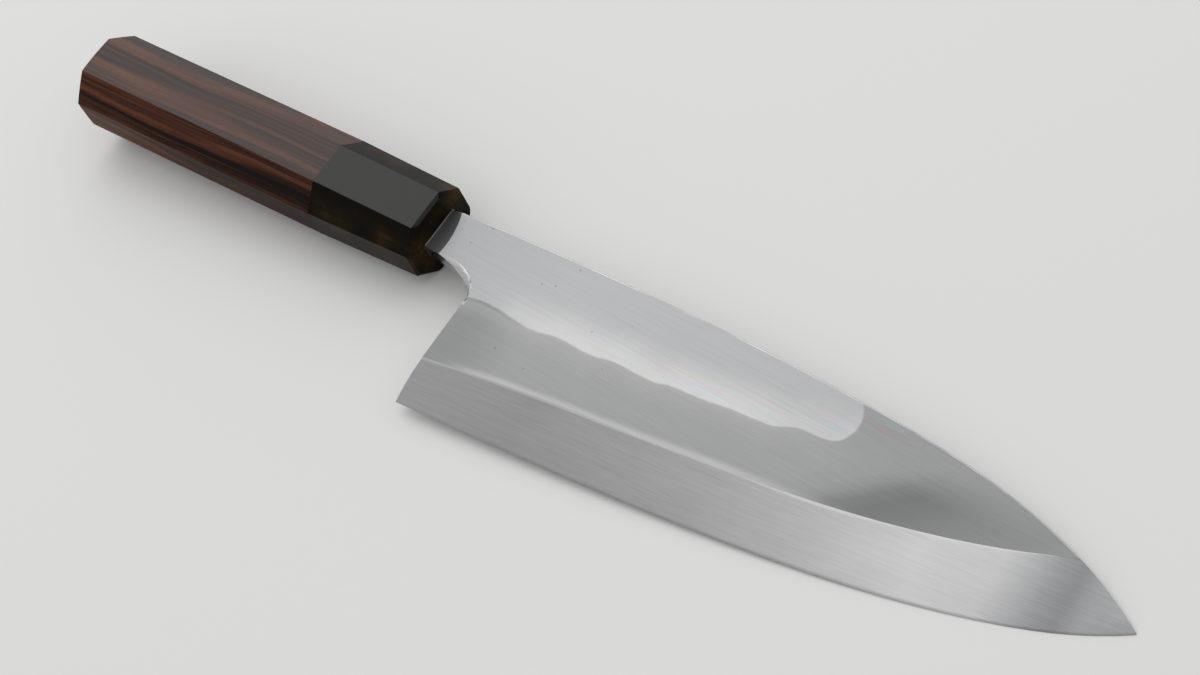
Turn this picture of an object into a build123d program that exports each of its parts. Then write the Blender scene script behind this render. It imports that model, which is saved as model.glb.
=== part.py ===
from build123d import *
import math
import os

# A heavy single-bevel kitchen knife with an octagonal wooden handle. All lengths are millimetres.
# Every piece is drawn in the knife's own axes: X runs from the handle to the tip, Y points to the
# spine, Z points out of the front face, and the origin is the middle of the ferrule's front face.
# At the end the whole knife is laid down on its back face, the way it rests on a table.

# Handle, an octagon that is a little deeper than it is thick and swells towards the butt
handle_length = 141.3
butt_height = 28.9
butt_thickness = 26.5
butt_corner = 7.7
butt_crown = 1.3
joint_height = 28.4
joint_thickness = 25.2
joint_corner = 7.3
arris_radius = 0.35

# Ferrule, which carries the octagon on to the neck and is bevelled and rounded at its front
ferrule_length = 39.5
front_height = 26.4
front_thickness = 22.9
front_corner = 6.4
front_bevel_length = 1.1
front_bevel_depth = 0.6
front_arris_radius = 4.0

# Dowel that joins ferrule and handle and grips the tang
dowel_diameter = 17.0
dowel_past_tang = 16.0
ferrule_wall = 10.0
glue_gap = 0.1
glue_pocket = 0.5

# Tang and neck
tang_length = 84.0
tang_end_height = 8.0
tang_end_thickness = 3.0
neck_top = 7.1
neck_bottom = 6.5
neck_thickness = 4.4
neck_scoop_radius = 13.2
neck_scoop_slant = 13.5
neck_wheel_radius = 20.0
neck_level = 2.0
tang_clearance = 0.25
slot_clearance = 0.45
slot_corner_radius = 0.6
seal_depth = 5.0
seal_recess = 0.25

# Blade, seen from its front face
blade_reach = 239.0
spine_height = 8.6
tip_drop = 17.0
heel_set = 23.3
heel_flare = 2.7
heel_depth = 50.3
heel_straight = 18.5
heel_bulge = 0.3
choil_depth = 12.0

# Blade thickness: the spine thins to the tip, and the front face leans in towards the edge
spine_thickness = 8.2
tip_thickness = 2.0
face_lean = 1.2

# Bevel below the ridge line, and the small second bevel that makes the edge
bevel_width = 22.0
edge_bevel_width = 0.6
edge_bevel_height = 0.42
edge_land = 0.12

# Hollow of the back face and the flat rim round it
hollow_depth = 0.7
hollow_spine_rim = 4.0
hollow_edge_rim = 2.2

# Rounding of the spine's corners, and the larger one where the finger rests, below the neck
spine_round = 0.4
choil_round = 2.4

# Length that a cutting tool runs past the work
overrun = 6.0

# Spine: distance from the ferrule as a share of the reach, and fall below the spine's highest
# line as a share of its whole fall to the tip
spine_shares = ((0.10, 0.030), (0.25, 0.0), (0.45, 0.012), (0.62, 0.082), (0.76, 0.218),
                (0.88, 0.480), (0.95, 0.742))

# Edge: distance from the heel corner as a share of the edge's length, rise above the heel corner
# as a share of its rise to the tip, and bevel width there as a share of the largest
edge_shares = ((-0.06, -0.022, 0.575), (0.0, 0.0, 0.595), (0.16, 0.050, 0.715), (0.36, 0.128, 0.770),
               (0.56, 0.244, 0.800), (0.71, 0.382, 0.850), (0.84, 0.566, 0.925), (0.93, 0.760, 0.990),
               (1.0, 1.0, 1.020), (1.05, 1.25, 1.040))

# Curve below the neck: shares of the distance to the heel line and of the curve's depth
choil_shares = ((0.47, 0.135), (0.83, 0.450))

# Rounding along that curve: place on the curve and share of the largest radius
round_shares = ((0.0, 0.05), (0.12, 0.06), (0.24, 0.18), (0.36, 0.50), (0.54, 0.90), (0.68, 1.0), (0.84, 0.62),
                (1.0, 0.14))

# Hollow: place along the blade as a share of the reach, share of the width inside the rim, and
# share of the full depth
hollow_shares = ((0.125, 0.08, 0.06), (0.138, 0.46, 0.32), (0.158, 0.68, 0.56), (0.185, 0.84, 0.76),
                 (0.225, 0.94, 0.90), (0.30, 0.99, 0.98), (0.45, 1.0, 1.0), (0.62, 1.0, 0.85),
                 (0.76, 0.98, 0.60), (0.84, 0.90, 0.40), (0.885, 0.60, 0.22), (0.90, 0.10, 0.06))

# Place on the edge that touches the table, as a share of the edge's length from the heel corner:
# there the weight hangs between this point and the ferrule's lower front corner
rest_share = 0.924

butt_x = -handle_length + butt_crown
joint_x = -ferrule_length
dowel_start_x = -ferrule_wall
dowel_end_x = -tang_length - dowel_past_tang
bore_diameter = dowel_diameter + 2 * glue_gap
edge_length = blade_reach - heel_set + heel_flare
edge_rise = heel_depth - tip_drop
spine_fall = spine_height + tip_drop
thickness_slope = (spine_thickness - tip_thickness) / 2 / blade_reach
lean_slope = face_lean / (spine_height + heel_depth)


def face_z(x, y):
    """Height of the flat front face over a point of the plan."""
    return spine_thickness / 2 - thickness_slope * x - lean_slope * (spine_height - y)


def back_z(x):
    """Height of the flat back face, which is level from spine to edge."""
    return thickness_slope * x - spine_thickness / 2


def octagon(height, thickness, corner, radius, x):
    """Section of the handle square to its length, with its corners softened."""
    h = height / 2
    t = thickness / 2
    points = [(h - corner, t), (h, t - corner), (h, corner - t), (h - corner, -t)]
    points += [(corner - h, -t), (-h, corner - t), (-h, t - corner), (corner - h, t)]
    section = make_face(Polyline(*points, close=True))
    section = fillet(section.vertices(), radius)
    return Plane(origin=(x, 0, 0), x_dir=(0, 1, 0), z_dir=(1, 0, 0)) * section


def rod(diameter, start_x, end_x):
    """Round bar along the handle between two places."""
    section = Plane(origin=(start_x, 0, 0), z_dir=(1, 0, 0)) * Circle(diameter / 2)
    return extrude(section, amount=end_x - start_x)


def spine_points():
    points = [(0, neck_top)]
    points += [(blade_reach * along, spine_height - spine_fall * fall) for along, fall in spine_shares]
    return points + [(blade_reach, -tip_drop)]


def edge_place(along, rise):
    return (blade_reach - edge_length * (1 - along), edge_rise * rise - heel_depth)


def edge_points():
    return [edge_place(along, rise) for along, rise, width in edge_shares if 0 <= along <= 1]


def choil_curve():
    """Curve of the blade's outline from the neck down to the straight heel line."""
    start = (0, -neck_bottom)
    points = [start]
    points += [(heel_set * along, -neck_bottom - choil_depth * down) for along, down in choil_shares]
    points.append((heel_set, -neck_bottom - choil_depth))
    first = (heel_set * choil_shares[0][0], -choil_depth * choil_shares[0][1])
    return Spline(*points, tangents=(first, (0, -choil_depth)))


def blade_outline():
    """Plan of neck, blade and tang as one face."""
    spine = Spline(*spine_points())
    edge = Spline(*edge_points())
    choil = choil_curve()
    heel_top = (heel_set, -neck_bottom - choil_depth)
    heel_bend = Vector(heel_set, -neck_bottom - choil_depth - heel_straight)
    heel_corner = Vector(*edge_place(0, 0))
    bulge = (heel_corner - heel_bend).normalized().rotate(Axis.Z, -90) * heel_bulge
    heel = Line(heel_top, heel_bend)
    heel_arc = ThreePointArc(heel_bend, (heel_bend + heel_corner) / 2 + bulge, heel_corner)
    half_end = tang_end_height / 2
    tang = Polyline((0, neck_top), (-tang_length, half_end), (-tang_length, -half_end), (0, -neck_bottom))
    return make_face([spine, edge, heel_arc, heel, choil, tang])


def front_waste():
    """Everything in front of the flat front face."""
    corner = Vector(0, spine_height, face_z(0, spine_height))
    along = Vector(blade_reach, spine_height, face_z(blade_reach, spine_height)) - corner
    down = Vector(0, -heel_depth, face_z(0, -heel_depth)) - corner
    plane = Plane(origin=corner, x_dir=along, z_dir=down.cross(along))
    reach = 2 * (blade_reach + tang_length)
    return plane * Box(reach, reach, spine_thickness, align=(Align.CENTER, Align.CENTER, Align.MIN))


def back_waste():
    """Everything behind the flat back face."""
    corner = Vector(0, 0, back_z(0))
    along = Vector(blade_reach, 0, back_z(blade_reach)) - corner
    plane = Plane(origin=corner, x_dir=along, z_dir=along.cross(Vector(0, 1, 0)) * -1)
    reach = 2 * (blade_reach + tang_length)
    return plane * Box(reach, reach, spine_thickness, align=(Align.CENTER, Align.CENTER, Align.MIN))


def neck_waste():
    """What is ground off one side: the tang's taper, the level neck and a scoop with a bowed end."""
    flat = neck_thickness / 2
    end = tang_end_thickness / 2
    top = spine_thickness
    side = math.sqrt(neck_scoop_radius ** 2 - (neck_scoop_radius - top + flat) ** 2)
    half_turn = math.asin(side / neck_scoop_radius) / 2
    mid = (neck_scoop_radius * math.sin(half_turn), flat + neck_scoop_radius * (1 - math.cos(half_turn)))
    scoop = ThreePointArc((0, flat), mid, (side, top))
    start = -2 * neck_level
    level = Polyline((side, top), (start, top), (start, flat), (0, flat))
    wheel = Axis((-neck_wheel_radius, 0, 0), (0, 0, 1))
    turn = math.degrees(math.asin((neck_top + neck_bottom) / neck_wheel_radius))
    profile = (Plane.XZ * make_face([scoop, level])).rotate(wheel, -turn)
    back = -tang_length - overrun
    taper = make_face(Polyline((-neck_level, flat), (-neck_level, top), (back, top), (back, end),
                               (-tang_length, end), close=True))
    waste = revolve(profile, wheel, 2 * turn)
    waste += extrude(Plane.XZ * taper, amount=heel_depth + neck_top, both=True)
    return waste.rotate(Axis.Z, neck_scoop_slant)


def bevel_section(along, rise, width):
    """Section, square to the blade's length, of what is ground away below the ridge line."""
    x, edge_y = edge_place(along, rise)
    ridge_y = edge_y + bevel_width * width
    low = back_z(x) + edge_land
    inner_y = edge_y + edge_bevel_width
    inner_z = low + edge_bevel_height
    bevel_rate = (face_z(x, ridge_y) - inner_z) / (ridge_y - inner_y)
    edge_rate = edge_bevel_height / edge_bevel_width
    far_y = ridge_y + overrun
    out_y = edge_y - overrun
    top = spine_thickness
    points = [(inner_y, inner_z), (far_y, inner_z + bevel_rate * (far_y - inner_y)), (far_y, top)]
    points += [(out_y, top), (out_y, low - edge_rate * overrun)]
    section = make_face(Polyline(*points, close=True))
    return Plane(origin=(x, 0, 0), x_dir=(0, 1, 0), z_dir=(1, 0, 0)) * section


def bevel_waste():
    return loft([bevel_section(along, rise, width) for along, rise, width in edge_shares])


def curve_place(curve, x):
    """Place on a curve of the plan, from 0 to 1, at a distance along the blade."""
    low = 0.0
    high = 1.0
    rising = (curve @ 1).X > (curve @ 0).X
    for _ in range(40):
        middle = (low + high) / 2
        if ((curve @ middle).X < x) == rising:
            low = middle
        else:
            high = middle
    return low


def hollow_section(x, low_y, high_y, depth):
    """Shallow round-backed section cut up into the back face."""
    z = back_z(x)
    arc = ThreePointArc((low_y, z), ((low_y + high_y) / 2, z + depth), (high_y, z))
    rest = Polyline((high_y, z), (high_y, z - overrun), (low_y, z - overrun), (low_y, z))
    section = make_face([arc, rest])
    return Plane(origin=(x, 0, 0), x_dir=(0, 1, 0), z_dir=(1, 0, 0)) * section


def hollow_waste():
    """Shallow hollow of the back face, inside its flat rim."""
    spine = Spline(*spine_points())
    edge = Spline(*edge_points())
    sections = []
    for along, wide, deep in hollow_shares:
        x = blade_reach * along
        low_y = (edge @ curve_place(edge, x)).Y + hollow_edge_rim
        high_y = (spine @ curve_place(spine, x)).Y - hollow_spine_rim
        middle = (low_y + high_y) / 2
        reach = (high_y - low_y) / 2 * wide
        sections.append(hollow_section(x, middle - reach, middle + reach, hollow_depth * deep))
    return loft(sections)


def round_section(curve, place, radius, side):
    """Corner of waste that leaves a quarter round between a face and the curved wall."""
    point = curve @ place
    along = curve % place
    inward = Vector(-along.Y, along.X, 0)
    face = face_z(point.X, point.Y) if side > 0 else -back_z(point.X)
    turn = radius * (1 - math.sqrt(0.5))
    arc = ThreePointArc((radius, face), (turn, face - turn), (0, face - radius))
    out = -overrun / 2
    top = spine_thickness
    rest = Polyline((0, face - radius), (out, face - radius), (out, top), (radius, top), (radius, face))
    section = make_face([arc, rest])
    if side < 0:
        section = section.mirror(Plane.XZ)
    return Plane(origin=point, x_dir=inward, z_dir=along) * section


def choil_waste(side):
    curve = choil_curve()
    sections = [round_section(curve, place, choil_round * share, side) for place, share in round_shares]
    return loft(sections)


def spine_corners(blade):
    """Two long corners between the spine and the flat faces."""
    spine = Spline(*spine_points())
    corners = []
    for corner in blade.edges():
        middle = corner @ 0.5
        if corner.length > blade_reach / 2 and middle.X > 0:
            off_spine = (spine @ curve_place(spine, middle.X)).Y - middle.Y
            if abs(off_spine) < spine_round:
                corners.append(corner)
    return corners


def make_blade():
    blade = extrude(Pos(0, 0, -spine_thickness) * blade_outline(), amount=2 * spine_thickness)
    blade -= front_waste()
    blade -= back_waste()
    neck = neck_waste()
    blade -= neck
    blade -= neck.mirror(Plane.XY)
    blade -= bevel_waste()
    blade -= hollow_waste()
    blade -= choil_waste(1)
    blade -= choil_waste(-1)
    return fillet(spine_corners(blade), spine_round)


def slot_section(x, grow):
    """Section of the tang grown all round by a clearance."""
    share = -x / tang_length
    top = neck_top + (tang_end_height / 2 - neck_top) * share + grow
    bottom = -neck_bottom - (tang_end_height / 2 - neck_bottom) * share - grow
    thickness = neck_thickness + (tang_end_thickness - neck_thickness) * share + 2 * grow
    section = Pos((top + bottom) / 2, 0) * RectangleRounded(top - bottom, thickness, slot_corner_radius)
    return Plane(origin=(x, 0, 0), x_dir=(0, 1, 0), z_dir=(1, 0, 0)) * section


def make_ferrule():
    joint = octagon(joint_height, joint_thickness, joint_corner, arris_radius, joint_x)
    shoulder = octagon(front_height, front_thickness, front_corner, arris_radius, -front_bevel_length)
    nose_height = front_height - 2 * front_bevel_depth
    nose_thickness = front_thickness - 2 * front_bevel_depth
    nose = octagon(nose_height, nose_thickness, front_corner, front_arris_radius, 0)
    ferrule = loft([joint, shoulder], ruled=True) + loft([shoulder, nose], ruled=True)
    ferrule -= rod(bore_diameter, joint_x - overrun, dowel_start_x)
    slot = loft([slot_section(overrun, slot_clearance), slot_section(dowel_start_x - overrun, slot_clearance)])
    return ferrule - slot


def make_handle():
    butt = octagon(butt_height, butt_thickness, butt_corner, arris_radius, butt_x - butt_crown)
    joint = octagon(joint_height, joint_thickness, joint_corner, arris_radius, joint_x)
    handle = loft([butt, joint], ruled=True)
    half = math.hypot(butt_height / 2 - butt_corner / 2, butt_thickness / 2 - butt_corner / 2)
    crown_radius = (half ** 2 + butt_crown ** 2) / (2 * butt_crown)
    crown = Pos(-handle_length + crown_radius, 0, 0) * Sphere(crown_radius)
    handle &= crown + rod(2 * butt_height, joint_x - ferrule_length, joint_x)
    handle -= rod(bore_diameter, dowel_end_x - glue_pocket, joint_x + overrun)
    return handle


def make_dowel():
    dowel = rod(dowel_diameter, dowel_end_x, dowel_start_x)
    slot_end_x = -tang_length - glue_pocket
    slot = loft([slot_section(dowel_start_x + overrun, tang_clearance), slot_section(slot_end_x, tang_clearance)])
    return dowel - slot


def make_seal(blade):
    """Ring of resin that closes the slot round the tang, flush inside the ferrule's front."""
    plug = loft([slot_section(-seal_recess, slot_clearance), slot_section(-seal_depth, slot_clearance)])
    return plug - blade


def table_plane():
    """Table under the knife, through the ferrule's lower front corner and along the edge near the tip."""
    corner = Vector(-front_bevel_length, front_corner - front_height / 2, -front_thickness / 2)
    edge = Spline(*edge_points())
    x = edge_place(rest_share, 0)[0]
    place = curve_place(edge, x)
    touch = Vector(x, (edge @ place).Y, back_z(x))
    along = edge % place
    rolling = Vector(along.X, along.Y, along.X * thickness_slope)
    up = (touch - corner).cross(rolling).normalized()
    sideways = up.cross(Vector(1, 0, 0))
    return Plane(origin=corner, x_dir=sideways.cross(up), z_dir=up)


def lay_down(parts):
    """Lay the knife on its back face, with the table at zero under the middle of its bounding box."""
    table = table_plane()
    laid = {name: table.to_local_coords(shape) for name, shape in parts.items()}
    box = Compound(list(laid.values())).bounding_box()
    middle = (box.min + box.max) / 2
    return {name: Pos(-middle.X, -middle.Y, -box.min.Z) * shape for name, shape in laid.items()}


blade = make_blade()
parts = lay_down({
    "blade": blade,
    "horn_ferrule": make_ferrule(),
    "handle_body": make_handle(),
    "core_dowel": make_dowel(),
    "slot_seal": make_seal(blade),
})

os.makedirs("parts", exist_ok=True)
for name, shape in parts.items():
    export_step(shape, f"parts/{name}.step")
    box = shape.bounding_box()
    print(name, "volume", round(shape.volume, 1), "low", box.min, "high", box.max)
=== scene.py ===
import math

import bpy
from mathutils import Euler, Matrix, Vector


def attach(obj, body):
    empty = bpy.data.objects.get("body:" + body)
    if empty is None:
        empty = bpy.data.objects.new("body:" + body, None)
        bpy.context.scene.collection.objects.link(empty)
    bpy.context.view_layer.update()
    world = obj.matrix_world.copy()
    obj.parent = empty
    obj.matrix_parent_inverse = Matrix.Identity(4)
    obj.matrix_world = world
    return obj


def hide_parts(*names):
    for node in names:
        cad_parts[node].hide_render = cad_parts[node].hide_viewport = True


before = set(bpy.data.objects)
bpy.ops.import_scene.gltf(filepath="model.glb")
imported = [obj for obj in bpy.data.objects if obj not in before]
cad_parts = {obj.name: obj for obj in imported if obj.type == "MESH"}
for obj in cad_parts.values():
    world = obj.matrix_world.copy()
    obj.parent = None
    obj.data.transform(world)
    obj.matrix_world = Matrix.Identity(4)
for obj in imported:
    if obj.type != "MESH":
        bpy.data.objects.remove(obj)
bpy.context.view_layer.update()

# The knife lies on its back face, rolled and pitched a little, because it rests on the ferrule's
# lower front corner and on its edge near the tip. Finishes are laid out in the knife's own axes, in
# mm: X runs along the blade to the tip, Y up to the spine and Z out of the front face, all from the
# middle of the ferrule's face, which lies at FERRULE_FACE in the scene.
MM = 0.001
LIE_ROLL = math.radians(3.876)
LIE_PITCH = math.radians(2.292)
LIE = Euler((LIE_ROLL, LIE_PITCH, 0)).to_matrix()
FERRULE_FACE = Vector((-48.687, 17.577, 11.830))

# Blade: how far it reaches, how high its spine is by the ferrule, how deep it is, where the neck's
# scoop and its steep part end, where the bevel starts, and how far the edge's last strip stands over
# the plane of the back
BLADE_REACH = 239.0
SPINE_HEIGHT = 8.6
BLADE_DEPTH = 58.9
NECK_REACH = 7.3
NECK_STEEP = 5.0
HEEL_X = 21.0
EDGE_STRIP = 0.6

# The front face stands this high by the ferrule, drops to the tip and leans down to the edge. The
# back's flat rim lies as far below and rises to the tip.
FRONT_HEIGHT = 4.1
TIP_DROP = 3.1
EDGE_DROP = 1.2
TAPER = TIP_DROP / BLADE_REACH
LEAN = EDGE_DROP / BLADE_DEPTH

# Finger notch between neck and heel, and how far apart the points of its rim lie that are merged
NOTCH_START_X = 5.5
NOTCH_END_X = 24.5
NOTCH_TOP_Y = -5.8
HEEL_TOP_Y = -18.45
NOTCH_MERGE = 0.08

# The resin of the slot lies this far inside the ferrule's face
SEAL_RECESS = 0.25

# Loose triangles are joined over this gap, and facets that turn by less than this are one flat face
WELD_GAP = 0.002
FLAT_TURN = math.radians(0.2)

# Wavy hardening line, as places along the blade and heights, how closely it wavers and by how much
# from its lowest to its highest, and how it ends: how far along, how it bows back below the spine and
# how soft it is on either side
HARDENING_LINE = (
    (20.0, -15.6), (24.3, -15.1), (30.9, -14.3), (39.6, -15.1), (47.0, -15.6), (57.5, -14.3),
    (66.4, -14.7), (76.8, -13.5), (86.3, -13.8), (94.4, -12.6), (105.2, -12.0), (114.0, -10.9),
    (124.5, -10.4), (130.7, -8.4), (134.8, -7.4), (140.4, -7.2), (145.2, -5.8), (149.0, -2.0))
WAVERS_PER_MM = 0.35
WAVER_HEIGHT = 0.5
HARDENING_END = 147.4
HARDENING_END_BOW = 0.065
HARDENING_END_SOFT = 0.5

# Ridge line between the flat face and the bevel
RIDGE_LINE = (
    (23.3, -37.2), (40.0, -34.9), (60.0, -32.6), (90.0, -29.9), (120.0, -26.9), (150.0, -23.9),
    (175.0, -19.0), (195.0, -14.0), (212.0, -7.8), (218.0, -5.0))

# Way of the honing strokes on the bevel: along the ridge, then straight on past its bend
HONING_LINE = (
    (23.3, -37.2), (60.0, -32.6), (90.0, -29.9), (120.0, -26.9), (150.0, -23.4), (195.0, -17.0),
    (235.0, -10.0))

# Camera: where it stands from the ferrule's face in mm, how it is turned in degrees, and its lens
CAMERA_FROM_FACE = Vector((456.784, -258.827, 544.508))
CAMERA_TURN = (37.459, 16.2045, 37.3249)
CAMERA_LENS = 78.0
SENSOR_WIDTH = 36.0
CAMERA_NEAREST = 10.0

# Studio: the side of the floor, and the soft box with its side and distance in metres
FLOOR_SIDE = 12.0
SOFT_BOX_SIDE = 1.3
SOFT_BOX_AWAY = 1.4
SOFT_BOX_WATTS = 4.4
SOFT_BOX_WAY = Vector((-0.50, 0.35, 0.80)).normalized()

# Settings that many nodes share: an eased rise between two places, and a mix of two colours, whose
# inputs are 0 for the share and 6 and 7 for the colours
EASED = {"interpolation_type": "SMOOTHSTEP"}
COLOURS = {"data_type": "RGBA", "output": 2}
SOFT_LIGHT = {"data_type": "RGBA", "output": 2, "blend_type": "SOFT_LIGHT"}


def to_knife(point):
    """Place of a scene point in the knife's own axes, in mm."""
    return LIE.transposed() @ (Vector(point) / MM - FERRULE_FACE)


def linear(hex_colour):
    """sRGB hex value as linear red, green, blue and a full alpha."""
    parts = [int(hex_colour[i:i + 2], 16) / 255 for i in (1, 3, 5)]
    return tuple(c / 12.92 if c <= 0.04045 else ((c + 0.055) / 1.055) ** 2.4 for c in parts) + (1.0,)


def add(tree, kind, inputs=(), output=0, stops=(), curve=(), **settings):
    """Adds a node with its settings, ramp stops or curve points, and links or values for its inputs,
    as a dict or as a list in the node's own order. All outputs come back when output is None."""
    made = tree.nodes.new(kind)
    for name, value in settings.items():
        setattr(made, name, value)
    if stops:
        ramp = made.color_ramp.elements
        while len(ramp) < len(stops):
            ramp.new(0.5)
        for stop, (place, colour) in zip(ramp, stops):
            stop.position = place
            stop.color = linear(colour)
    if curve:
        points = made.mapping.curves[0].points
        while len(points) < len(curve):
            points.new(0.5, 0.5)
        for point, place in zip(points, curve):
            point.location = place
            point.handle_type = "AUTO_CLAMPED"
        made.mapping.update()
    for key, value in inputs.items() if isinstance(inputs, dict) else enumerate(inputs):
        if isinstance(value, bpy.types.NodeSocket):
            tree.links.new(value, made.inputs[key])
        else:
            made.inputs[key].default_value = value
    return made.outputs if output is None else made.outputs[output]


def new_material(name, metallic, roughness, **extra):
    """Material with a principled shader. Returns the material, its tree and the shader's inputs."""
    material = bpy.data.materials.new(name)
    material.use_nodes = True
    tree = material.node_tree
    shader = tree.nodes["Principled BSDF"].inputs
    shader["Metallic"].default_value = metallic
    shader["Roughness"].default_value = roughness
    for key, value in extra.items():
        shader[key.replace("_", " ")].default_value = value
    return material, tree, shader


def knife_place(tree):
    """Place in the knife's own axes, in mm. Its parts lie along the blade, up to the spine and out of
    the front face."""
    found = add(tree, "ShaderNodeTexCoord", output="Object")
    return add(tree, "ShaderNodeMapping", {
        "Vector": found, "Location": -(LIE.transposed() @ FERRULE_FACE),
        "Rotation": LIE.transposed().to_euler(), "Scale": (1 / MM,) * 3})


def height_over(tree, up, share, line):
    """How far a place stands above a line, at its share of the blade's reach."""
    heights = [height for along, height in line]
    low, high = min(heights) - 1, max(heights) + 1
    points = [(along / BLADE_REACH, (height - low) / (high - low)) for along, height in line]
    line_share = add(tree, "ShaderNodeFloatCurve", {"Value": share}, curve=points)
    line_height = add(tree, "ShaderNodeMapRange", {"Value": line_share, "To Min": low, "To Max": high})
    return add(tree, "ShaderNodeMath", [up, line_height], operation="SUBTRACT")


def strokes(tree, place, width, length, shift=0.0, output=0):
    """Streaks that run lengthwise, such as a stone's strokes or fibres, with their size in mm. The
    shift keeps two sets of streaks apart."""
    stretched = add(tree, "ShaderNodeMapping", {
        "Vector": place, "Location": (shift,) * 3, "Scale": (1 / length, 1 / width, 1 / width)})
    return add(tree, "ShaderNodeTexNoise", {
        "Vector": stretched, "Scale": 1.0, "Detail": 3.0, "Roughness": 0.6}, output=output)


def leaning(tree, along, up, out, lean, base):
    """Place for strokes that lean off the blade's axis, by a share of a height along the blade."""
    across = add(tree, "ShaderNodeMath", [base, lean, up], operation="MULTIPLY_ADD")
    return add(tree, "ShaderNodeCombineXYZ", [along, across, out])


# Tones of the front face. Each pair is where a tone starts and where it is full, in mm over or under
# the hardening line, over the ridge, along the blade or, for the spine, in height. The painted dark
# reflection before the tip lies slanted, by this much along the blade for each mm of height.
SATIN_OVER_LINE = (-0.1, 0.6)
GLOW_OVER_LINE = (13.0, 0.8)
MIST_UNDER_LINE = (-14.0, 0.0)
RIM_UNDER_LINE = (-1.2, -0.4)
RIM_ALONG = (48.0, 28.0)
HEEL_SHADE_UNDER_LINE = (-1.0, -6.0)
HEEL_SHADE_ALONG = (52.0, 27.0)
DARK_REFLECTION_ALONG = (118.0, 152.0)
DARK_REFLECTION_SLANT = -1.2
SPINE_TONE_HEIGHT = (-10.0, 0.0)
HIGHLIGHT_OVER_RIDGE = (2.4, 0.3)
TINT_OVER_LINE = (0.0, 12.0)

# Pits of the front face: how many there may be to a mm, the radius at which a pit starts and the one
# at which it is full, and where along the blade they come in
PITS_PER_MM = 0.12
PIT_OUTER = 0.30
PIT_INNER = 0.08
PITS_ALONG = (110.0, 50.0)

# How strong a tone is at shares of the blade's reach, or of the tint's height over the line
GLOW_SHARES = ((0.0, 0.0), (0.11, 0.05), (0.17, 0.55), (0.3, 1.0), (0.48, 1.0), (0.57, 0.6), (1.0, 0.6))
RIDGE_HIGHLIGHT_SHARES = ((0.0, 0.0), (0.1, 0.0), (0.21, 1.0), (0.46, 1.0), (0.7, 0.0), (1.0, 0.0))
TINT_HEIGHT_SHARES = ((0.0, 0.15), (0.1, 0.3), (0.25, 1.0), (0.5, 0.9), (0.7, 0.35), (1.0, 0.2))
TINT_REACH_SHARES = (
    (0.0, 0.06), (0.12, 0.06), (0.44, 0.50), (0.61, 0.48), (0.70, 0.26), (0.85, 0.08), (1.0, 0.08))


def satin_mask(tree, above, along, up):
    """Where the satin is: above the hardening line, as far as its bowed end."""
    upper = add(tree, "ShaderNodeMapRange", [above, *SATIN_OVER_LINE], **EASED)
    bow = add(tree, "ShaderNodeMath", [up, up], operation="MULTIPLY")
    reach = add(tree, "ShaderNodeMath", [bow, HARDENING_END_BOW, along], operation="MULTIPLY_ADD")
    before = add(tree, "ShaderNodeMapRange", [
        reach, HARDENING_END + HARDENING_END_SOFT, HARDENING_END - HARDENING_END_SOFT], **EASED)
    return add(tree, "ShaderNodeMath", [upper, before], operation="MULTIPLY")


def satin_tone(tree, above, share):
    """Satin above the line, which brightens towards it, most of all in the middle of the blade."""
    near_line = add(tree, "ShaderNodeMapRange", [above, *GLOW_OVER_LINE], **EASED)
    middle = add(tree, "ShaderNodeFloatCurve", {"Value": share}, curve=GLOW_SHARES)
    glow = add(tree, "ShaderNodeMath", [near_line, middle], operation="MULTIPLY")
    plain = add(tree, "ShaderNodeValToRGB", [share], stops=((0.04, "#9B9C9D"), (0.2, "#A3A4A5")))
    return add(tree, "ShaderNodeMix", {0: glow, 6: plain, 7: linear("#BABABA")}, **COLOURS)


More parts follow.
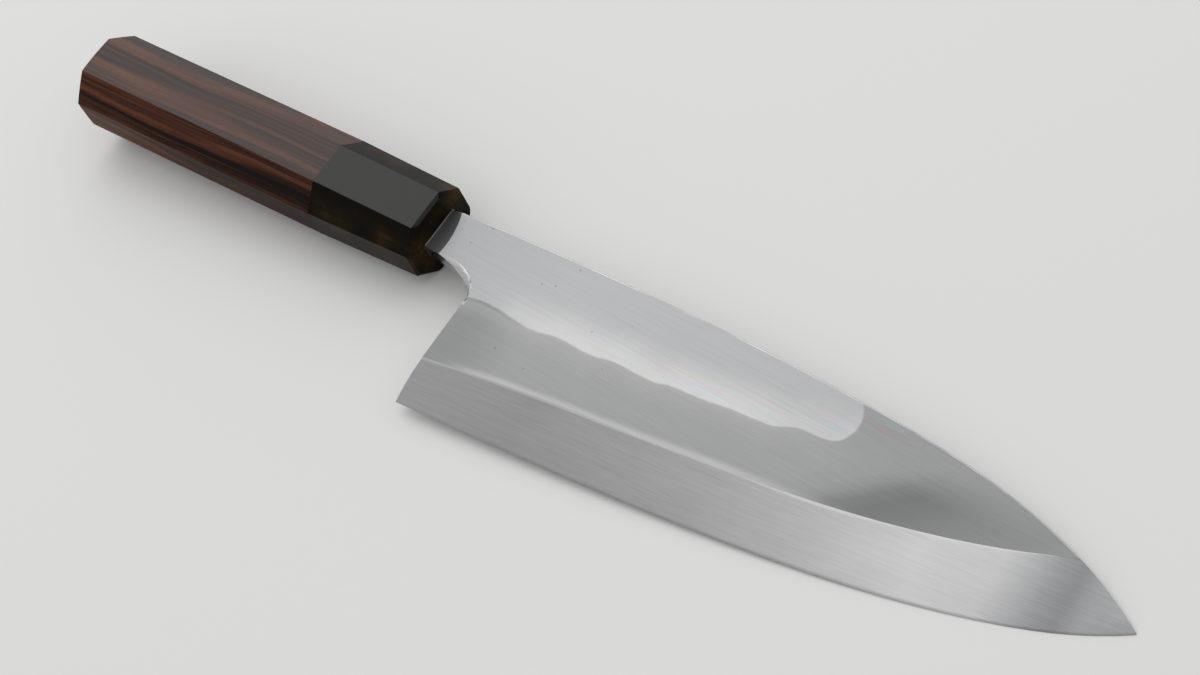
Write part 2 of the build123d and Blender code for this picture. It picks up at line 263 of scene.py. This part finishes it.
def mist_tone(tree, above, along, up, share):
    """Mist under the line: darker by the heel with a thin rim there, darkest in a painted dark
    reflection, a soft patch before the tip, and paler in a painted highlight, a band along the ridge."""
    below = add(tree, "ShaderNodeMapRange", [above, *MIST_UNDER_LINE])
    mist = add(tree, "ShaderNodeValToRGB", [below], stops=(
        (0.0, "#898A8A"), (0.5, "#8A8B8B"), (0.9, "#919191"), (1.0, "#959595")))
    rim = add(tree, "ShaderNodeMapRange", [above, *RIM_UNDER_LINE], **EASED)
    rim_reach = add(tree, "ShaderNodeMapRange", [along, *RIM_ALONG], **EASED)
    rim = add(tree, "ShaderNodeMath", [rim, rim_reach], operation="MULTIPLY")
    mist = add(tree, "ShaderNodeMix", {0: rim, 6: mist, 7: linear("#828282")}, **COLOURS)
    at_heel = add(tree, "ShaderNodeMapRange", [along, *HEEL_SHADE_ALONG, 0.0, 0.9], **EASED)
    off_line = add(tree, "ShaderNodeMapRange", [above, *HEEL_SHADE_UNDER_LINE, 0.4, 1.0])
    at_heel = add(tree, "ShaderNodeMath", [at_heel, off_line], operation="MULTIPLY")
    mist = add(tree, "ShaderNodeMix", {0: at_heel, 6: mist, 7: linear("#7A7B7B")}, **COLOURS)

    # Painted dark reflection: a soft slanted patch before the tip, lighter again towards the spine
    slanted = add(tree, "ShaderNodeMath", [up, DARK_REFLECTION_SLANT, along], operation="MULTIPLY_ADD")
    slanted_share = add(tree, "ShaderNodeMath", [slanted, BLADE_REACH], operation="DIVIDE")
    dark_reflection = add(tree, "ShaderNodeValToRGB", [slanted_share], stops=(
        (0.66, "#8B8C8C"), (0.71, "#878888"), (0.73, "#808181"), (0.75, "#717272"), (0.775, "#6B6C6C"),
        (0.80, "#6E6F6F"), (0.84, "#777878"), (0.90, "#7F8080"), (0.95, "#8B8C8C")))
    at_spine = add(tree, "ShaderNodeMapRange", [up, *SPINE_TONE_HEIGHT])
    dark_reflection = add(tree, "ShaderNodeMix", {0: at_spine, 6: dark_reflection, 7: linear("#868787")}, **COLOURS)
    in_dark_reflection = add(tree, "ShaderNodeMapRange", [along, *DARK_REFLECTION_ALONG], **EASED)
    mist = add(tree, "ShaderNodeMix", {0: in_dark_reflection, 6: mist, 7: dark_reflection}, **COLOURS)

    # Painted highlight: a pale band just over the ridge, strongest between a fifth and nearly half of the
    # blade's reach
    over_ridge = height_over(tree, up, share, RIDGE_LINE)
    ridge_highlight = add(tree, "ShaderNodeMapRange", [over_ridge, *HIGHLIGHT_OVER_RIDGE], **EASED)
    reach = add(tree, "ShaderNodeFloatCurve", {"Value": share}, curve=RIDGE_HIGHLIGHT_SHARES)
    ridge_highlight = add(tree, "ShaderNodeMath", [ridge_highlight, reach], operation="MULTIPLY")
    return add(tree, "ShaderNodeMix", {0: ridge_highlight, 6: mist, 7: linear("#A0A0A0")}, **COLOURS)


def pit_mask(tree, place, along):
    """Faint pits, scattered over the half by the heel, each as strong as chance makes it. Real ones
    are a fifth of a millimetre wide: drawn twice as wide to show."""
    pits = add(tree, "ShaderNodeTexVoronoi", {"Vector": place, "Scale": PITS_PER_MM}, output=None,
               voronoi_dimensions="2D")
    pitted = add(tree, "ShaderNodeMapRange", [
        pits["Distance"], PIT_OUTER * PITS_PER_MM, PIT_INNER * PITS_PER_MM])
    kept = add(tree, "ShaderNodeMapRange", [pits["Color"], 0.5, 0.8, 0.0, 0.8])
    by_heel = add(tree, "ShaderNodeMapRange", [along, *PITS_ALONG])
    kept = add(tree, "ShaderNodeMath", [kept, by_heel], operation="MULTIPLY")
    return add(tree, "ShaderNodeMath", [pitted, kept], operation="MULTIPLY")


def face_steel():
    """High-carbon steel, ground flat and hazed with fine stones: a brighter satin above the wavy
    hardening line, a darker mist below it and past its end, and a painted highlight along the ridge."""
    material, tree, shader = new_material("carbon_steel_stoned_face", metallic=1.0, roughness=0.36)
    place = knife_place(tree)
    along, up, out = add(tree, "ShaderNodeSeparateXYZ", [place], output=None)
    share = add(tree, "ShaderNodeMath", [along, BLADE_REACH], operation="DIVIDE")
    waver = add(tree, "ShaderNodeTexNoise", {"Vector": place, "Scale": WAVERS_PER_MM, "Detail": 2.0})
    above = height_over(tree, up, share, HARDENING_LINE)
    above = add(tree, "ShaderNodeMath", [waver, WAVER_HEIGHT, above], operation="MULTIPLY_ADD")
    satin = satin_mask(tree, above, along, up)
    upper_tone = satin_tone(tree, above, share)
    lower_tone = mist_tone(tree, above, along, up, share)
    colour = add(tree, "ShaderNodeMix", {0: satin, 6: lower_tone, 7: upper_tone}, **COLOURS)

    # Real stone strokes are some hundredths of a millimetre wide: drawn ten times as wide to show.
    # They lean down to the tip, and in a band over the line they break the light into faint colours.
    stroked = leaning(tree, along, up, out, lean=0.05, base=along)
    fine = strokes(tree, stroked, width=0.35, length=90.0)
    tinted = strokes(tree, stroked, width=0.45, length=22.0, shift=7.0, output=1)
    tint_height = add(tree, "ShaderNodeMapRange", [above, *TINT_OVER_LINE])
    in_band = add(tree, "ShaderNodeFloatCurve", {"Value": tint_height}, curve=TINT_HEIGHT_SHARES)
    in_reach = add(tree, "ShaderNodeFloatCurve", {"Value": share}, curve=TINT_REACH_SHARES)
    tint = add(tree, "ShaderNodeMath", [in_band, in_reach], operation="MULTIPLY")
    colour = add(tree, "ShaderNodeMix", {0: 0.16, 6: colour, 7: fine}, **SOFT_LIGHT)
    colour = add(tree, "ShaderNodeMix", {0: tint, 6: colour, 7: tinted}, **SOFT_LIGHT)

    pitted = pit_mask(tree, place, along)
    colour = add(tree, "ShaderNodeMix", {0: pitted, 6: colour, 7: linear("#2E2E2E")}, **COLOURS)
    tree.links.new(colour, shader["Base Color"])
    rough = add(tree, "ShaderNodeMapRange", {"Value": satin, "To Min": 0.31, "To Max": 0.38})
    tree.links.new(rough, shader["Roughness"])
    bump = add(tree, "ShaderNodeBump", {"Strength": 0.08, "Distance": 0.05 * MM, "Height": fine})
    tree.links.new(bump, shader["Normal"])
    return material


# Just under the ridge the bevel has a painted highlight: where that starts and where it is full, in mm
HIGHLIGHT_UNDER_RIDGE = (-0.7, -0.2)


def bevel_steel():
    """The same steel on the bevel, honed lengthwise on coarser stones, so long streaks show. A painted
    highlight runs as a bright line along its ridge. The strokes are drawn some ten times as wide as real
    ones, to show."""
    material, tree, shader = new_material("carbon_steel_stoned_bevel", metallic=1.0, roughness=0.34)
    along, up, out = add(tree, "ShaderNodeSeparateXYZ", [knife_place(tree)], output=None)
    share = add(tree, "ShaderNodeMath", [along, BLADE_REACH], operation="DIVIDE")
    # Painted reflections: the bevel's tone along the blade, brightest past the middle and darkest just
    # before the tip
    colour = add(tree, "ShaderNodeValToRGB", [share], stops=(
        (0.10, "#B0B0B1"), (0.25, "#A5A5A6"), (0.50, "#A9A9AA"), (0.63, "#B5B5B6"), (0.76, "#C9C9CA"),
        (0.84, "#C2C2C3"), (0.895, "#999A9B"), (0.92, "#8C8D8E"), (0.946, "#A0A1A2"), (1.0, "#A6A7A8")))
    over_ridge = height_over(tree, up, share, RIDGE_LINE)
    # Painted highlight: a bright line just under the ridge
    ridge_line_highlight = add(tree, "ShaderNodeMapRange", [over_ridge, *HIGHLIGHT_UNDER_RIDGE, 0.0, 0.5], **EASED)
    colour = add(tree, "ShaderNodeMix", {0: ridge_line_highlight, 6: colour, 7: linear("#D8D8D8")}, **COLOURS)
    stroked = leaning(tree, along, up, out, lean=1.0, base=height_over(tree, up, share, HONING_LINE))
    fine = strokes(tree, stroked, width=0.4, length=14.0)
    wide = strokes(tree, stroked, width=3.0, length=90.0, shift=5.0)
    colour = add(tree, "ShaderNodeMix", {0: 0.40, 6: colour, 7: fine}, **SOFT_LIGHT)
    colour = add(tree, "ShaderNodeMix", {0: 0.12, 6: colour, 7: wide}, **SOFT_LIGHT)
    tree.links.new(colour, shader["Base Color"])
    bump = add(tree, "ShaderNodeBump", {"Strength": 0.12, "Distance": 0.05 * MM, "Height": fine})
    tree.links.new(bump, shader["Normal"])
    return material


def streaked(name, metallic, roughness, width, length, shift, dark, light):
    """Material whose tone goes from dark to light and back across its streaks."""
    material, tree, shader = new_material(name, metallic, roughness)
    streaks = strokes(tree, knife_place(tree), width, length, shift)
    colour = add(tree, "ShaderNodeValToRGB", [streaks], stops=((0.3, dark), (0.7, light)))
    tree.links.new(colour, shader["Base Color"])
    return material


def buffed_steel():
    """Steel of the spine, heel wall and finger notch, eased and buffed, so its corners catch a bright
    line. Its belt marks are drawn some ten times as wide as real ones, to show."""
    return streaked("carbon_steel_buffed_edges", metallic=1.0, roughness=0.22, width=0.5, length=25.0,
                    shift=3.0, dark="#C4C4C6", light="#D6D6D7")


def hollow_steel():
    """Back of the blade: a shallow hollow ground lengthwise, a little duller than its rim, with the
    wheel's marks drawn some ten times as wide as real ones, to show."""
    return streaked("carbon_steel_ground_hollow", metallic=1.0, roughness=0.32, width=0.5, length=50.0,
                    shift=9.0, dark="#A6A6A8", light="#B8B8BA")


def rim_steel():
    """Flat rim round the hollow of the back, kept bright by sharpening on a fine stone, with its
    strokes drawn some ten times as wide as real ones, to show."""
    return streaked("carbon_steel_honed_rim", metallic=1.0, roughness=0.22, width=0.35, length=30.0,
                    shift=4.0, dark="#BCBCBE", light="#CECED0")


def core_wood():
    """Pale softwood of the hidden dowel, sawn along its grain, with fine straight streaks."""
    return streaked("magnolia_sawn_core", metallic=0.0, roughness=0.7, width=0.8, length=30.0,
                    shift=0.0, dark="#A98C63", light="#CBB38A")


def neck_steel():
    """Steel of the scooped neck, rubbed dull across, with a painted reflection of the dark horn beside
    it: darker towards the ferrule.
    """
    material, tree, shader = new_material("carbon_steel_scooped_neck", metallic=1.0, roughness=0.55)
    along = add(tree, "ShaderNodeSeparateXYZ", [knife_place(tree)], output="X")
    rise = add(tree, "ShaderNodeMapRange", [along, 0.0, NECK_REACH])
    # Painted reflection: darker by the ferrule, lighter up the scoop
    colour = add(tree, "ShaderNodeValToRGB", [rise], stops=((0.0, "#848486"), (1.0, "#A8A8AA")))
    tree.links.new(colour, shader["Base Color"])
    return material


# A facet of the handle is a slanted one up to the first of these shares of facing out of the front,
# and a square one from the second
FACING_SHARES = (0.72, 0.96)


def shine(tree, slanted, square):
    """Shine of a facet: the top one, square to the knife's front, takes the light, and the slanted
    ones beside it mirror less of the pale floor, so their own colour shows deep."""
    facing = add(tree, "ShaderNodeAttribute", output="Fac", attribute_name="facing")
    return add(tree, "ShaderNodeMapRange", [facing, *FACING_SHARES, slanted, square])


# Striped wood: how fast the grain drifts along and across the handle, how far it bends, and how its
# growth layers are tilted and how much broader they are than thick
GRAIN_DRIFTS_PER_MM = (0.012, 0.05, 0.05)
GRAIN_BEND = (0.0, 5.0, 5.0)
LAYER_TILT = math.radians(30)
LAYER_BREADTH = 5.0


def striped_wood():
    """Striped ebony, planed and oiled: black-brown bands run along the grain in red-brown wood."""
    material, tree, shader = new_material("striped_ebony_oiled", metallic=0.0, roughness=0.44, IOR=1.54)
    tree.links.new(shine(tree, slanted=0.06, square=0.5), shader["Specular IOR Level"])
    place = knife_place(tree)
    slow = add(tree, "ShaderNodeMapping", {"Vector": place, "Scale": GRAIN_DRIFTS_PER_MM})
    drift = add(tree, "ShaderNodeTexNoise", {"Vector": slow, "Scale": 1.0, "Detail": 2.0}, output=1)
    bent = add(tree, "ShaderNodeVectorMath", [drift, GRAIN_BEND, place], operation="MULTIPLY_ADD")

    # The bands are growth layers, tilted through the handle: narrow on some facets, broad on others.
    # Fibres are a few hundredths of a millimetre wide: drawn in bundles ten times as wide to show.
    layers = add(tree, "ShaderNodeMapping", {
        "Vector": bent, "Rotation": (LAYER_TILT, 0.0, 0.0), "Scale": (1.0, 1.0, LAYER_BREADTH)},
        vector_type="TEXTURE")
    bands = strokes(tree, layers, width=1.6, length=170.0, shift=3.0)
    fibres = strokes(tree, bent, width=0.4, length=22.0)
    mixed = add(tree, "ShaderNodeMix", {0: 0.25, 2: bands, 3: fibres})
    colour = add(tree, "ShaderNodeValToRGB", [mixed], stops=(
        (0.36, "#150D0A"), (0.44, "#26160F"), (0.50, "#3E2318"), (0.57, "#542F20"), (0.66, "#66402E")))

    # Pores are a tenth of a millimetre wide: drawn twice as wide to show
    pores = strokes(tree, place, width=0.2, length=3.0, shift=5.0)
    dark = add(tree, "ShaderNodeMapRange", [pores, 0.40, 0.30, 0.0, 0.6])
    colour = add(tree, "ShaderNodeMix", {0: dark, 6: colour, 7: linear("#140C08")}, **COLOURS)
    tree.links.new(colour, shader["Base Color"])
    rough = add(tree, "ShaderNodeMapRange", [fibres, 0.3, 0.7, 0.38, 0.52])
    tree.links.new(rough, shader["Roughness"])
    bump = add(tree, "ShaderNodeBump", {"Strength": 0.25, "Distance": 0.1 * MM, "Height": fibres})
    tree.links.new(bump, shader["Normal"])
    return material


# Horn: how many amber patches there are to a mm, and between which heights over the handle's middle
# they come in
PATCHES_PER_MM = 0.07
AMBER_BELOW = (11.0, 8.0)


def buffalo_horn():
    """Water-buffalo horn, ground and polished: near black, with patches of amber-brown fibres on its
    lower sides and round the blade."""
    material, tree, shader = new_material("buffalo_horn_polished", metallic=0.0, roughness=0.24, IOR=1.56)
    tree.links.new(shine(tree, slanted=0.03, square=0.37), shader["Specular IOR Level"])
    place = knife_place(tree)
    out = add(tree, "ShaderNodeSeparateXYZ", [place], output="Z")
    patches = add(tree, "ShaderNodeTexNoise", {"Vector": place, "Scale": PATCHES_PER_MM, "Detail": 2.0})
    fibres = strokes(tree, place, width=1.2, length=14.0, shift=2.0)
    amber = add(tree, "ShaderNodeMapRange", [patches, 0.36, 0.66])
    amber = add(tree, "ShaderNodeMath", [amber, fibres], operation="MULTIPLY")
    lower = add(tree, "ShaderNodeMapRange", [out, *AMBER_BELOW])
    amber = add(tree, "ShaderNodeMath", [amber, lower], operation="MULTIPLY")
    colour = add(tree, "ShaderNodeValToRGB", [amber], stops=(
        (0.0, "#110F0A"), (0.2, "#1D170D"), (0.5, "#362713"), (0.8, "#4C371C")))
    tree.links.new(colour, shader["Base Color"])
    rough = add(tree, "ShaderNodeMapRange", {"Value": fibres, "To Min": 0.20, "To Max": 0.30})
    tree.links.new(rough, shader["Roughness"])
    return material


# Resin: how many lumps its skin has to a mm, and between which heights on the slot painted shade darkens
# it
LUMPS_PER_MM = 1.2
SHADE_BELOW_NECK = (-6.2, -6.5)


def sealing_resin():
    """Pale grey resin poured round the tang and scraped level, with a dull, slightly rough skin; its pale
    tone is partly a painted highlight along the slot. Under the neck painted shade makes it as dark as
    the horn, so the pale line ends at the neck's lower corner."""
    material, tree, shader = new_material("sealing_resin_scraped", metallic=0.0, roughness=0.55)
    place = knife_place(tree)
    up = add(tree, "ShaderNodeSeparateXYZ", [place], output="Y")
    lumps = add(tree, "ShaderNodeTexNoise", {"Vector": place, "Scale": LUMPS_PER_MM, "Detail": 3.0})
    # Pale resin, its tone partly a painted highlight: the thin bright line along the slot
    colour = add(tree, "ShaderNodeValToRGB", [lumps], stops=((0.35, "#8C8C88"), (0.7, "#ACACA8")))
    # Painted shade: dark under the neck
    neck_shade = add(tree, "ShaderNodeMapRange", [up, *SHADE_BELOW_NECK])
    colour = add(tree, "ShaderNodeMix", {0: neck_shade, 6: colour, 7: linear("#1C1A16")}, **COLOURS)
    tree.links.new(colour, shader["Base Color"])
    return material


def carry_over(node, name, *materials):
    """Copy of a solid's mesh as a piece of its own, with its loose triangles joined up."""
    bpy.ops.object.select_all(action="DESELECT")
    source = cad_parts[node]
    piece = source.copy()
    piece.data = source.data.copy()
    piece.name = name
    piece.data.name = name
    piece.data.materials.clear()
    for material in materials:
        piece.data.materials.append(material)
    bpy.context.collection.objects.link(piece)
    piece.select_set(True)
    bpy.context.view_layer.objects.active = piece
    bpy.ops.object.mode_set(mode="EDIT")
    bpy.ops.mesh.select_all(action="SELECT")
    bpy.ops.mesh.remove_doubles(threshold=WELD_GAP * MM)
    bpy.ops.object.mode_set(mode="OBJECT")
    return piece


def edit_points(piece, wanted):
    """Goes into edit mode with the points selected that are wanted by their number and place."""
    bpy.ops.object.mode_set(mode="EDIT")
    bpy.ops.mesh.select_mode(type="VERT")
    bpy.ops.mesh.select_all(action="DESELECT")
    bpy.ops.object.mode_set(mode="OBJECT")
    for vertex in piece.data.vertices:
        vertex.select = wanted(vertex.index, to_knife(vertex.co))
    bpy.ops.object.mode_set(mode="EDIT")


def join_flats(piece):
    """Makes flat faces whole, and keeps the outline of each finish sharp."""
    bpy.ops.object.mode_set(mode="EDIT")
    for slot in range(len(piece.data.materials)):
        bpy.ops.mesh.select_mode(type="FACE")
        bpy.ops.mesh.select_all(action="DESELECT")
        piece.active_material_index = slot
        bpy.ops.object.material_slot_select()
        bpy.ops.mesh.region_to_loop()
        bpy.ops.mesh.mark_sharp()
    bpy.ops.mesh.select_mode(type="FACE")
    bpy.ops.mesh.select_all(action="SELECT")
    bpy.ops.mesh.dissolve_limited(angle_limit=FLAT_TURN, delimit={"MATERIAL", "SHARP"})
    bpy.ops.object.mode_set(mode="OBJECT")


def shade(piece, corner_degrees):
    """Shades smooth between its corners, with the large faces flat right up to their rounded borders."""
    bpy.ops.object.shade_smooth_by_angle(angle=math.radians(corner_degrees), keep_sharp_edges=True)
    weighted = piece.modifiers.new("flat_faces", "WEIGHTED_NORMAL")
    weighted.keep_sharp = True
    bpy.ops.object.modifier_apply(modifier=weighted.name)


def mark_facing(piece, lean):
    """Stores on each facet how squarely it looks out of the knife's front, leaning to the spine side."""
    front = (LIE.col[2] + LIE.col[1] * lean).normalized()
    facing = piece.data.attributes.new("facing", "FLOAT", "FACE")
    facing.data.foreach_set("value", [polygon.normal.dot(front) for polygon in piece.data.polygons])


def hand_in(piece, node):
    """Puts a piece on the knife's one body in the place of its solid."""
    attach(piece, "root")
    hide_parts(node)


# Finishes of the blade, in the order of its material slots
FACE, BEVEL, EDGES, NECK, HOLLOW, RIM = range(6)

# How near a facet of the blade lies to the plane that it belongs to, and how far under the front face
# a facet of the bevel starts
PLANE_GAP = 0.03
BEVEL_DROP = 0.005

# How far a facet of the blade looks one way, as a share of straight: the front face out, the neck's
# sloping facets out or back, the bevel out and down, the back in, and the edge's last strip down
FACE_OUT_SHARE = 0.99
NECK_OUT_SHARE = 0.05
NECK_BACK_SHARE = 0.25
BEVEL_OUT_SHARE = 0.75
BEVEL_DOWN_SHARE = 0.02
BACK_IN_SHARE = 0.9
EDGE_DOWN_SHARE = 0.3


def finish_of(centre, normal):
    """Finish of a facet of the blade, from where it lies and which way it looks."""
    front = FRONT_HEIGHT - TAPER * centre.x - LEAN * (SPINE_HEIGHT - centre.y)
    back = TAPER * centre.x - FRONT_HEIGHT
    if normal.z > FACE_OUT_SHARE and abs(centre.z - front) < PLANE_GAP:
        return FACE
    if centre.x < 0 or centre.x < NECK_STEEP and abs(normal.z) > NECK_OUT_SHARE:
        return NECK
    if centre.x < NECK_REACH and normal.x < -NECK_BACK_SHARE:
        return NECK
    if (normal.z > BEVEL_OUT_SHARE and normal.y < -BEVEL_DOWN_SHARE and centre.x > HEEL_X
            and back + EDGE_STRIP < centre.z < front - BEVEL_DROP):
        return BEVEL
    if normal.z < -BACK_IN_SHARE:
        return HOLLOW if centre.z > back + PLANE_GAP else RIM
    if centre.x > NOTCH_END_X and normal.y < -EDGE_DOWN_SHARE and centre.z < back + EDGE_STRIP:
        return BEVEL
    return EDGES


def clean_notch(piece):
    """Merges the slivers that the rounded rim of the finger notch was cut into, so it shades evenly."""
    walls = [polygon.vertices for polygon in piece.data.polygons if polygon.material_index == EDGES]
    rim = {number for vertices in walls for number in vertices}
    edit_points(piece, lambda number, place: (
        number in rim and NOTCH_START_X < place.x < NOTCH_END_X and HEEL_TOP_Y < place.y < NOTCH_TOP_Y))
    bpy.ops.mesh.remove_doubles(threshold=NOTCH_MERGE * MM)
    bpy.ops.object.mode_set(mode="OBJECT")


def make_blade():
    """Blade with each ground surface in its own finish."""
    piece = carry_over("blade", "forged_blade", face_steel(), bevel_steel(), buffed_steel(), neck_steel(),
                       hollow_steel(), rim_steel())
    for polygon in piece.data.polygons:
        polygon.material_index = finish_of(to_knife(polygon.center), LIE.transposed() @ polygon.normal)
    clean_notch(piece)
    join_flats(piece)
    shade(piece, corner_degrees=40)
    hand_in(piece, "blade")


def make_handle():
    """Octagonal wooden handle with its domed butt."""
    piece = carry_over("handle_body", "octagon_handle", striped_wood())
    join_flats(piece)
    mark_facing(piece, lean=0.25)
    shade(piece, corner_degrees=14)
    hand_in(piece, "handle_body")


def make_ferrule():
    """Octagonal horn ferrule with its chamfered front."""
    piece = carry_over("horn_ferrule", "octagon_ferrule", buffalo_horn())
    join_flats(piece)
    mark_facing(piece, lean=0.0)
    shade(piece, corner_degrees=14)
    hand_in(piece, "horn_ferrule")


def make_seal():
    """Resin round the tang, brought up level with the ferrule's face, where it shows as a thin line."""
    piece = carry_over("slot_seal", "slot_bead", sealing_resin())
    edit_points(piece, lambda number, place: place.x > -2 * SEAL_RECESS)
    bpy.ops.transform.translate(value=LIE @ Vector((SEAL_RECESS, 0, 0)) * MM)
    bpy.ops.object.mode_set(mode="OBJECT")
    join_flats(piece)
    shade(piece, corner_degrees=28)
    hand_in(piece, "slot_seal")


def dress_dowel():
    """Gives the hidden dowel its wood. Its shape stays the solid's own."""
    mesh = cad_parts["core_dowel"].data
    mesh.materials.clear()
    mesh.materials.append(core_wood())


def make_floor():
    """Plain floor of pale matt paper, which takes a soft shadow."""
    bpy.ops.object.select_all(action="DESELECT")
    bpy.ops.mesh.primitive_plane_add(size=FLOOR_SIDE, location=(0, 0, 0))
    floor = bpy.context.object
    floor.name = "studio_floor"
    paper = new_material("pale_paper_floor", metallic=0.0, roughness=0.9, Base_Color=linear("#EFEFED"))[0]
    floor.data.materials.append(paper)


def make_light():
    """Pale surroundings, a little dimmer near the floor, and one large soft box high up behind the
    handle."""
    world = bpy.data.worlds.new("pale_studio")
    bpy.context.scene.world = world
    world.use_nodes = True
    tree = world.node_tree
    direction = add(tree, "ShaderNodeTexCoord", output="Generated")
    height = add(tree, "ShaderNodeSeparateXYZ", [direction], output="Z")
    sky = add(tree, "ShaderNodeValToRGB", [height], stops=((0.0, "#BCBCBE"), (1.0, "#E2E2E2")))
    tree.links.new(sky, tree.nodes["Background"].inputs["Color"])
    lamp = bpy.data.lights.new("soft_box", "AREA")
    lamp.shape = "SQUARE"
    lamp.size = SOFT_BOX_SIDE
    lamp.energy = SOFT_BOX_WATTS
    box = bpy.data.objects.new("soft_box", lamp)
    bpy.context.collection.objects.link(box)
    box.location = SOFT_BOX_WAY * SOFT_BOX_AWAY
    box.rotation_euler = SOFT_BOX_WAY.to_track_quat("Z", "Y").to_euler()


def make_camera():
    """Camera at the photograph's angle."""
    data = bpy.data.cameras.new("camera")
    data.lens = CAMERA_LENS
    data.sensor_width = SENSOR_WIDTH
    data.clip_start = CAMERA_NEAREST * MM
    camera = bpy.data.objects.new("camera", data)
    bpy.context.collection.objects.link(camera)
    camera.location = (FERRULE_FACE + CAMERA_FROM_FACE) * MM
    camera.rotation_euler = [math.radians(degrees) for degrees in CAMERA_TURN]
    bpy.context.scene.camera = camera


make_blade()
make_handle()
make_ferrule()
make_seal()
dress_dowel()
make_floor()
make_light()
make_camera()
bpy.context.scene.view_settings.view_transform = "Standard"

bpy.context.view_layer.update()
